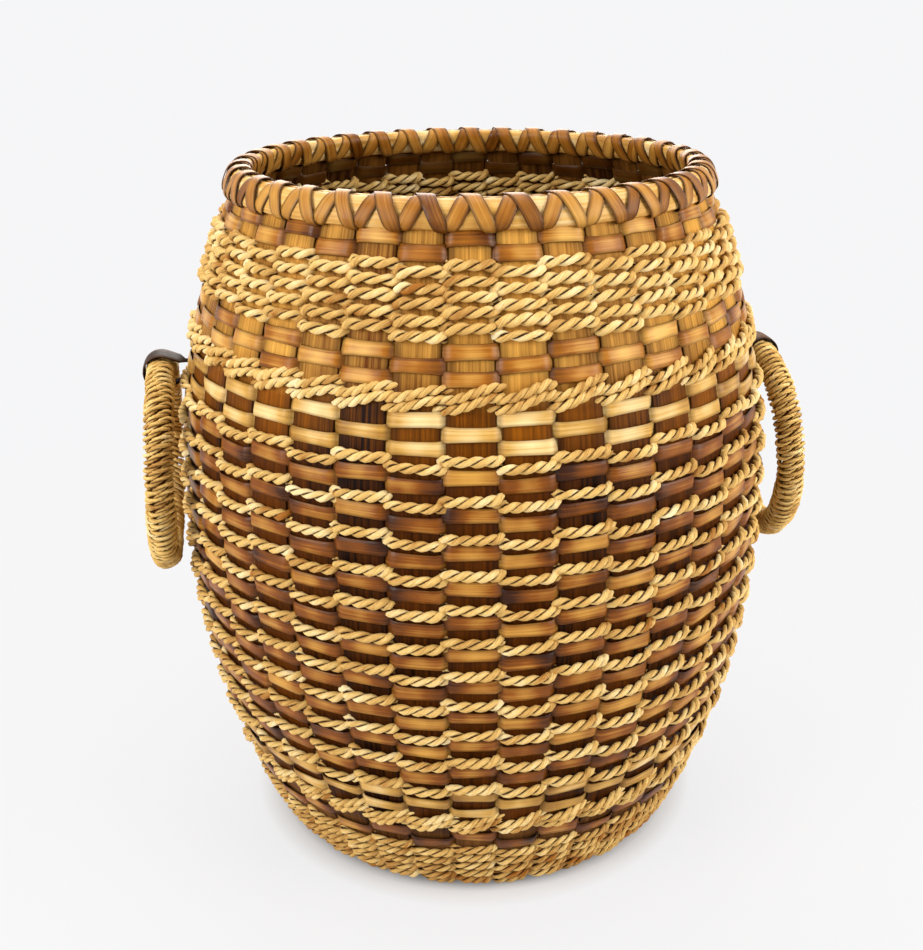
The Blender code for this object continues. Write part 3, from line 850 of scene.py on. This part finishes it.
def hoop(name, node, side):
    """A bent hoop: flat against the wall, rounded away from it."""
    angle = np.arange(HOOP_STATIONS) / HOOP_STATIONS * math.tau
    share = angle / math.tau
    corners = HOOP_FACE if side > 0 else HOOP_FACE[::-1]
    thick = HOOP_THICKNESS * (1 + smooth_random(HOOP_THICKNESS_DRIFT, share))
    drift = smooth_random(HOOP_DRIFT, share)
    points = []
    for out, up in corners:
        height = RIM_BOTTOM + (RIM_TOP - RIM_BOTTOM) * up
        radius = wall_radius(height) + side * (HOOP_NEAR + thick * out) + drift
        points.append(polar(radius, angle, height))
    tone = 0.5 + smooth_random(HOOP_TONE, share)
    marks = {"tone": tone[:, None], "edge": 0.0, "depth": 0.0}
    piece = grid_piece(name, np.stack(points, axis=1), math.tau * RIM_RADIUS, HOOP_GIRTH, True, marks,
                       HOOP_WOOD)
    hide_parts(node)


def rim_way(distance):
    """The way round both hoops from the gap under them, up the outside and down the inside."""
    low, high = RIM_BOTTOM, RIM_TOP
    turn_out = [(HOOP_NEAR + HOOP_THICKNESS * out, low + (high - low) * up) for out, up in HOOP_FACE]
    turn_out = [(0.0, low - LASHING_DROP)] + turn_out + [(0.0, high)]
    turn_in = [(-out, up) for out, up in turn_out[::-1]][1:-1]
    way = np.array([(wall_radius(min(up, high)) + out, up) for out, up in turn_out + turn_in])
    centre = np.array([wall_radius((low + high) / 2), (low + high) / 2])
    closed = np.vstack([way, way[:1]])
    steps = np.concatenate([[0], np.cumsum(np.linalg.norm(np.diff(closed, axis=0), axis=1))])
    share = np.arange(LASHING_POINTS) / LASHING_POINTS
    smooth = np.stack([np.interp(share * steps[-1], steps, closed[:, k]) for k in (0, 1)], axis=1)
    smooth = (np.roll(smooth, 1, 0) + 2 * smooth + np.roll(smooth, -1, 0)) / 4
    tangent = unit(np.roll(smooth, -1, 0) - np.roll(smooth, 1, 0))
    normal = np.stack([tangent[:, 1], -tangent[:, 0]], axis=1)
    outward = ((smooth - centre) * normal).sum(1).mean()
    return smooth + normal * math.copysign(distance, outward), normal * math.copysign(1.0, outward), share


def lashing(name, node, sense, layer):
    """A strip wound round the rim through every gap, leaning one way."""
    way, normal, share = rim_way(LASHING_NEAR + layer * LASHING_LAYER)
    turn = (np.arange(UPRIGHTS)[:, None] + share[None, :]).reshape(-1)
    round_share = turn / UPRIGHTS
    angle = sense * turn * STEP
    radius = np.tile(way[:, 0], UPRIGHTS) + smooth_random(LASHING_DRIFT, round_share)
    centres = polar(radius, angle, 0.0)
    centres[:, 2] = np.tile(way[:, 1], UPRIGHTS)
    out = polar(np.tile(normal[:, 0], UPRIGHTS), angle, 0.0)
    out[:, 2] = np.tile(normal[:, 1], UPRIGHTS)
    along = unit(np.roll(centres, -1, 0) - np.roll(centres, 1, 0))
    across = unit(np.cross(out, along))
    out = np.cross(along, across)
    in_gap = np.tile(np.exp(-(np.minimum(share, 1 - share) / GAP_REACH) ** 2), UPRIGHTS)
    half = LASHING_WIDTH / 2 * (1 - GAP_NARROWING * in_gap)
    half = half * (1 + smooth_random(LASHING_WIDTH_DRIFT, round_share))
    points = strip_points(centres, out, across, half, LASHING_THICKNESS / 2, LASHING_CROWN)
    tone = 0.5 + smooth_random(LASHING_TONE, round_share)
    # Painted shade where the strip goes into the gap
    marks = {"tone": tone[:, None], "edge": STRIP_EDGE, "depth": GAP_SHADE * in_gap[:, None]}
    piece = grid_piece(name, points, to_next(centres).sum(), LASHING_GIRTH, True, marks, LASHING_WOOD)
    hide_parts(node)


# Ring handles
RING_RADIUS = 0.0488
RING_LEAN = math.radians(3.2)
RING_CORE_RADIUS = 0.0041
RING_CORD_RADIUS = 0.00178
RING_CORD_LAY = 0.0190
RING_SLANT = 0.050
RING_WRAPS = 86
WRAP_POINTS = 22
WRAP_CROWDING = 0.0014
# Waves round the ring: how many there are, and how strong they are
CROWDING_WAVES = 57
CROWDING_WAVE = 0.0008
SWELL_WAVES = (31, 17)
SWELL_WAVE = 0.012
# The cord's random values come round this often on the way round the ring
CORD_SIZE_ROUNDS = 5
CORD_TONE_ROUNDS = 3


def hang(points, side, hinge):
    """Take points from a ring's own frame, which has its hinge at the origin, to the leaning ring's place."""
    level, aside, up = np.moveaxis(points, -1, 0)
    turn = side * RING_LEAN
    return np.stack([hinge.x + level * math.cos(turn) - up * math.sin(turn), hinge.y + aside,
                     hinge.z + level * math.sin(turn) + up * math.cos(turn)], axis=-1)


def ring_winding(tag, side):
    """A cord wound turn against turn round the ring's core."""
    count = RING_WRAPS * WRAP_POINTS
    share = np.arange(count) / count
    once = share * math.tau
    roll = once * RING_WRAPS
    crowding = smooth_random(WRAP_CROWDING, share) + CROWDING_WAVE * np.sin(once * CROWDING_WAVES)
    turn = (share + crowding * 0.5) * math.tau + RING_SLANT * np.sin(roll)
    ring_out = np.stack([0 * turn, np.sin(turn), np.cos(turn)], axis=1)
    level = np.array([1.0, 0.0, 0.0])[None, :]
    out = ring_out * np.cos(roll)[:, None] + level * np.sin(roll)[:, None]
    swell = 1 + SWELL_WAVE * np.sin(once * SWELL_WAVES[0] + 1.0) * np.sin(once * SWELL_WAVES[1])
    wrap_radius = (RING_CORE_RADIUS + RING_CORD_RADIUS) * swell
    centres = np.array([0.0, 0.0, -RING_RADIUS]) + ring_out * RING_RADIUS + out * wrap_radius[:, None]
    along = unit(np.roll(centres, -1, 0) - np.roll(centres, 1, 0))
    up = np.cross(along, out)
    length = to_next(centres).sum()
    size = RING_CORD_RADIUS * (1 + smooth_random(CORD_SIZE_DRIFT, share * CORD_SIZE_ROUNDS % 1))
    tubes, depth = cord_points(centres, out, up, size, round(length / RING_CORD_LAY),
                               RANDOM.uniform(0, math.tau), sides=5)
    tubes = [hang(tube, side, HINGES[tag]) for tube in tubes]
    marks = {"tone": cord_tones(tubes, share * CORD_TONE_ROUNDS % 1), "depth": depth}
    piece = grid_piece(f"{tag}_ring_cord", tubes, length, math.tau * PLY_RADIUS * RING_CORD_RADIUS, True,
                       marks, RING_CORD, body=f"{tag}_handle")
    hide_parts(f"{tag}_ring_winding")


# Straps: the heights at which the two arms go through the wall, the lower one first
STRAP_ARMS = {"left": (0.2475, 0.2571), "right": (0.2323, 0.2475)}
STRAP_WIDTH = 0.0140
STRAP_NECK_WIDTH = 0.0048
STRAP_THICKNESS = 0.0009
STRAP_CROWN = 0.00015
STRAP_LOOP = 0.0085
STRAP_LOOP_POINTS = 19
STRAP_LAP = 0.0040
STRAP_BEND = 0.0008
STRAP_INNER = 0.0048
STRAP_OUTER = 0.0034
STRAP_WIDENING = 0.3
# Painted shade on a strap: how dark it is in the wall, and on the next point outside it
STRAP_NECK_SHADE = 0.9
STRAP_ARM_SHADE = 0.6


def strap_way(tag):
    """Radius and height along a strap, from inside the wall over the ring's top and back inside."""
    hinge = HINGES[tag]
    reach = abs(hinge.x)
    low_arm, high_arm = STRAP_ARMS[tag]
    inside = min(wall_radius(low_arm), wall_radius(high_arm)) - STRAP_INNER

    def touch(arm):
        across = reach - float(wall_radius(arm)) - STRAP_OUTER
        rise = abs(arm - hinge.z)
        return math.atan2(rise, -across) - math.acos(STRAP_LOOP / math.hypot(across, rise))

    turns = np.linspace(touch(high_arm), -touch(low_arm), STRAP_LOOP_POINTS)
    loop = [(reach + STRAP_LOOP * math.cos(turn), hinge.z + STRAP_LOOP * math.sin(turn)) for turn in turns]
    wall_high = (wall_radius(high_arm) + STRAP_OUTER, high_arm)
    widening = [(1 - STRAP_WIDENING) * near + STRAP_WIDENING * far
                for near, far in zip(wall_high, loop[0])]
    into_high = [(inside, high_arm - STRAP_LAP), (inside, high_arm - STRAP_BEND),
                 (inside + STRAP_BEND, high_arm), wall_high]
    into_low = [(wall_radius(low_arm) + STRAP_OUTER, low_arm), (inside + STRAP_BEND, low_arm),
                (inside, low_arm + STRAP_BEND), (inside, low_arm + STRAP_LAP)]
    return np.array(into_high + [widening] + loop + into_low)


def strap(tag, side):
    """A dark strip through the wall, over the ring's top and back through the wall."""
    way = strap_way(tag)
    widths = np.full(len(way), STRAP_WIDTH)
    widths[:4] = widths[-4:] = STRAP_NECK_WIDTH
    shade = np.zeros(len(way))
    shade[:4] = shade[-4:] = STRAP_NECK_SHADE
    shade[4] = shade[-5] = STRAP_ARM_SHADE
    centres = np.stack([side * way[:, 0], 0 * way[:, 0], way[:, 1]], axis=1)
    along = unit(np.gradient(centres, axis=0))
    across = np.tile([0.0, 1.0, 0.0], (len(centres), 1))
    out = np.cross(along, across) * side
    points = strip_points(centres, out, across, widths / 2, STRAP_THICKNESS / 2, STRAP_CROWN)
    if side < 0:
        points = points[:, ::-1]
    length = np.linalg.norm(np.diff(centres, axis=0), axis=1).sum()
    marks = {"tone": 0.5, "edge": STRIP_EDGE, "depth": shade[:, None]}
    piece = grid_piece(f"{tag}_strap", points, length, 2 * STRAP_WIDTH, False, marks, STRAP_WOOD)
    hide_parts(f"{tag}_ring_strap")


def finish_cores():
    """The ring cores stay as the frame has them, under their windings."""
    for tag in ("left", "right"):
        core = frame["nodes"][f"{tag}_ring_core"]
        core.data.materials.clear()
        core.data.materials.append(CORE_WOOD)


# Camera
PHOTO_HEIGHT = 950
PHOTO_FOCAL_PX = 1256.5
SENSOR = 36.0
CAMERA_DISTANCE = 0.630
CAMERA_HEIGHT = 0.442
CAMERA_TURN = math.radians(-9.4737)
CAMERA_PITCH = math.radians(22.28)
CAMERA_YAW_PX = 11.0
CAMERA_ROLL = math.radians(-0.6)
CAMERA_NEAR = 0.01
CAMERA_FAR = 20.0

# Floor, backdrop and light: the floor's contact ring, a painted shadow, and its soft shadow are rings round
# the foot
FLOOR_SIZE = 12.0
FLOOR_COLOUR = (0.68, 0.68, 0.69)
FLOOR_SHADOW = 0.15
SHADOW_REACH = 0.70
CONTACT_SHADOW_COLOUR = (0.05, 0.04, 0.03)
CONTACT_RING = (FOOT_RADIUS - 0.002, FOOT_RADIUS + 0.008)
UNDER_RING = (FOOT_RADIUS - 0.005, FOOT_RADIUS + 0.020)
BACKDROP_COLOUR = (0.920, 0.920, 0.932)
AMBIENT_COLOUR = (1.0, 0.96, 0.90)
AMBIENT_STRENGTH = 0.15
LAMP_COLOUR = (1.0, 0.95, 0.88)


def make_camera():
    data = bpy.data.cameras.new("camera")
    camera = bpy.data.objects.new("camera", data)
    bpy.context.scene.collection.objects.link(camera)
    data.sensor_width = SENSOR
    data.lens = PHOTO_FOCAL_PX * SENSOR / PHOTO_HEIGHT
    place = Vector((math.sin(CAMERA_TURN) * CAMERA_DISTANCE, -math.cos(CAMERA_TURN) * CAMERA_DISTANCE,
                    CAMERA_HEIGHT))
    yaw = CAMERA_TURN + math.atan(CAMERA_YAW_PX / PHOTO_FOCAL_PX)
    turn = (Matrix.Rotation(yaw, 4, "Z") @ Matrix.Rotation(math.pi / 2 - CAMERA_PITCH, 4, "X")
            @ Matrix.Rotation(CAMERA_ROLL, 4, "Z"))
    camera.matrix_world = Matrix.Translation(place) @ turn
    data.clip_start = CAMERA_NEAR
    data.clip_end = CAMERA_FAR
    bpy.context.scene.camera = camera


def make_floor():
    """Seen by the camera it is as even as the backdrop, but for the basket's soft shadow and a painted
    contact shadow round the foot.
    """
    bpy.ops.mesh.primitive_plane_add(size=FLOOR_SIZE, location=(0, 0, 0))
    floor = bpy.context.object
    floor.name = "floor"
    nodes = Nodes(bpy.data.materials.new("floor"))
    away = nodes.add("ShaderNodeVectorMath", {0: nodes.place()}, operation="LENGTH").outputs["Value"]
    # Painted contact shadow: the floor's colour turns dark round the foot
    contact_shadow_tint = nodes.blend(nodes.spread(away, *CONTACT_RING), CONTACT_SHADOW_COLOUR, FLOOR_COLOUR)
    lit = nodes.shader("ShaderNodeBsdfDiffuse", {"Color": contact_shadow_tint})
    even = nodes.shader("ShaderNodeEmission", {"Color": BACKDROP_COLOUR})
    beside = nodes.spread(away, BELLY_RADIUS, SHADOW_REACH, FLOOR_SHADOW, 0.0)
    under = nodes.spread(away, *UNDER_RING, 1.0, FLOOR_SHADOW)
    under = nodes.maths("MULTIPLY", under, nodes.maths("LESS_THAN", away, BELLY_RADIUS))
    shadow = nodes.maths("MAXIMUM", beside, under)
    shaded = nodes.shader("ShaderNodeMixShader", {0: shadow, 1: even, 2: lit})
    shown = nodes.shader("ShaderNodeMixShader", {0: nodes.seen(), 1: lit, 2: shaded})
    floor.data.materials.append(nodes.output(shown))


def make_world():
    nodes = Nodes(bpy.data.worlds.new("studio"))
    ambient = nodes.shader("ShaderNodeBackground", {"Color": AMBIENT_COLOUR, "Strength": AMBIENT_STRENGTH})
    backdrop = nodes.shader("ShaderNodeBackground", {"Color": BACKDROP_COLOUR})
    shown = nodes.shader("ShaderNodeMixShader", {0: nodes.seen(), 1: ambient, 2: backdrop})
    bpy.context.scene.world = nodes.output(shown, "ShaderNodeOutputWorld")


def make_lamp(name, place, aim_height, size, power):
    """A soft lamp that looks at a point on the basket's axis."""
    data = bpy.data.lights.new(name, "AREA")
    data.shape = "RECTANGLE"
    data.size, data.size_y = size
    data.energy = power
    data.color = LAMP_COLOUR
    lamp = bpy.data.objects.new(name, data)
    bpy.context.scene.collection.objects.link(lamp)
    lamp.location = place
    lamp.rotation_euler = (Vector((0, 0, aim_height)) - Vector(place)).to_track_quat("-Z", "Y").to_euler()


def make_stage():
    make_camera()
    make_floor()
    make_world()
    make_lamp("left_softbox", (-1.05, -0.60, 0.70), aim_height=0.18, size=(0.7, 0.8), power=15.5)
    make_lamp("right_softbox", (1.00, -0.70, 0.66), aim_height=0.18, size=(0.7, 0.8), power=16.0)
    make_lamp("top_softbox", (0.0, 0.1, 1.35), aim_height=0.1, size=(1.2, 1.2), power=14.0)
    make_lamp("back_softbox", (0.1, 1.15, 0.75), aim_height=0.18, size=(0.9, 0.8), power=10.0)


make_splints()
hand_over_courses(make_rows())
hoop("outer_hoop", "rim_outer_hoop", 1)
hoop("inner_hoop", "rim_inner_hoop", -1)
lashing("lashing_under", "rim_lashing_under", 1, 0)
lashing("lashing_over", "rim_lashing_over", -1, 1)
for ring_tag, ring_side in (("left", -1), ("right", 1)):
    ring_winding(ring_tag, ring_side)
    strap(ring_tag, ring_side)
finish_cores()
make_stage()
bpy.context.scene.view_settings.view_transform = "Standard"
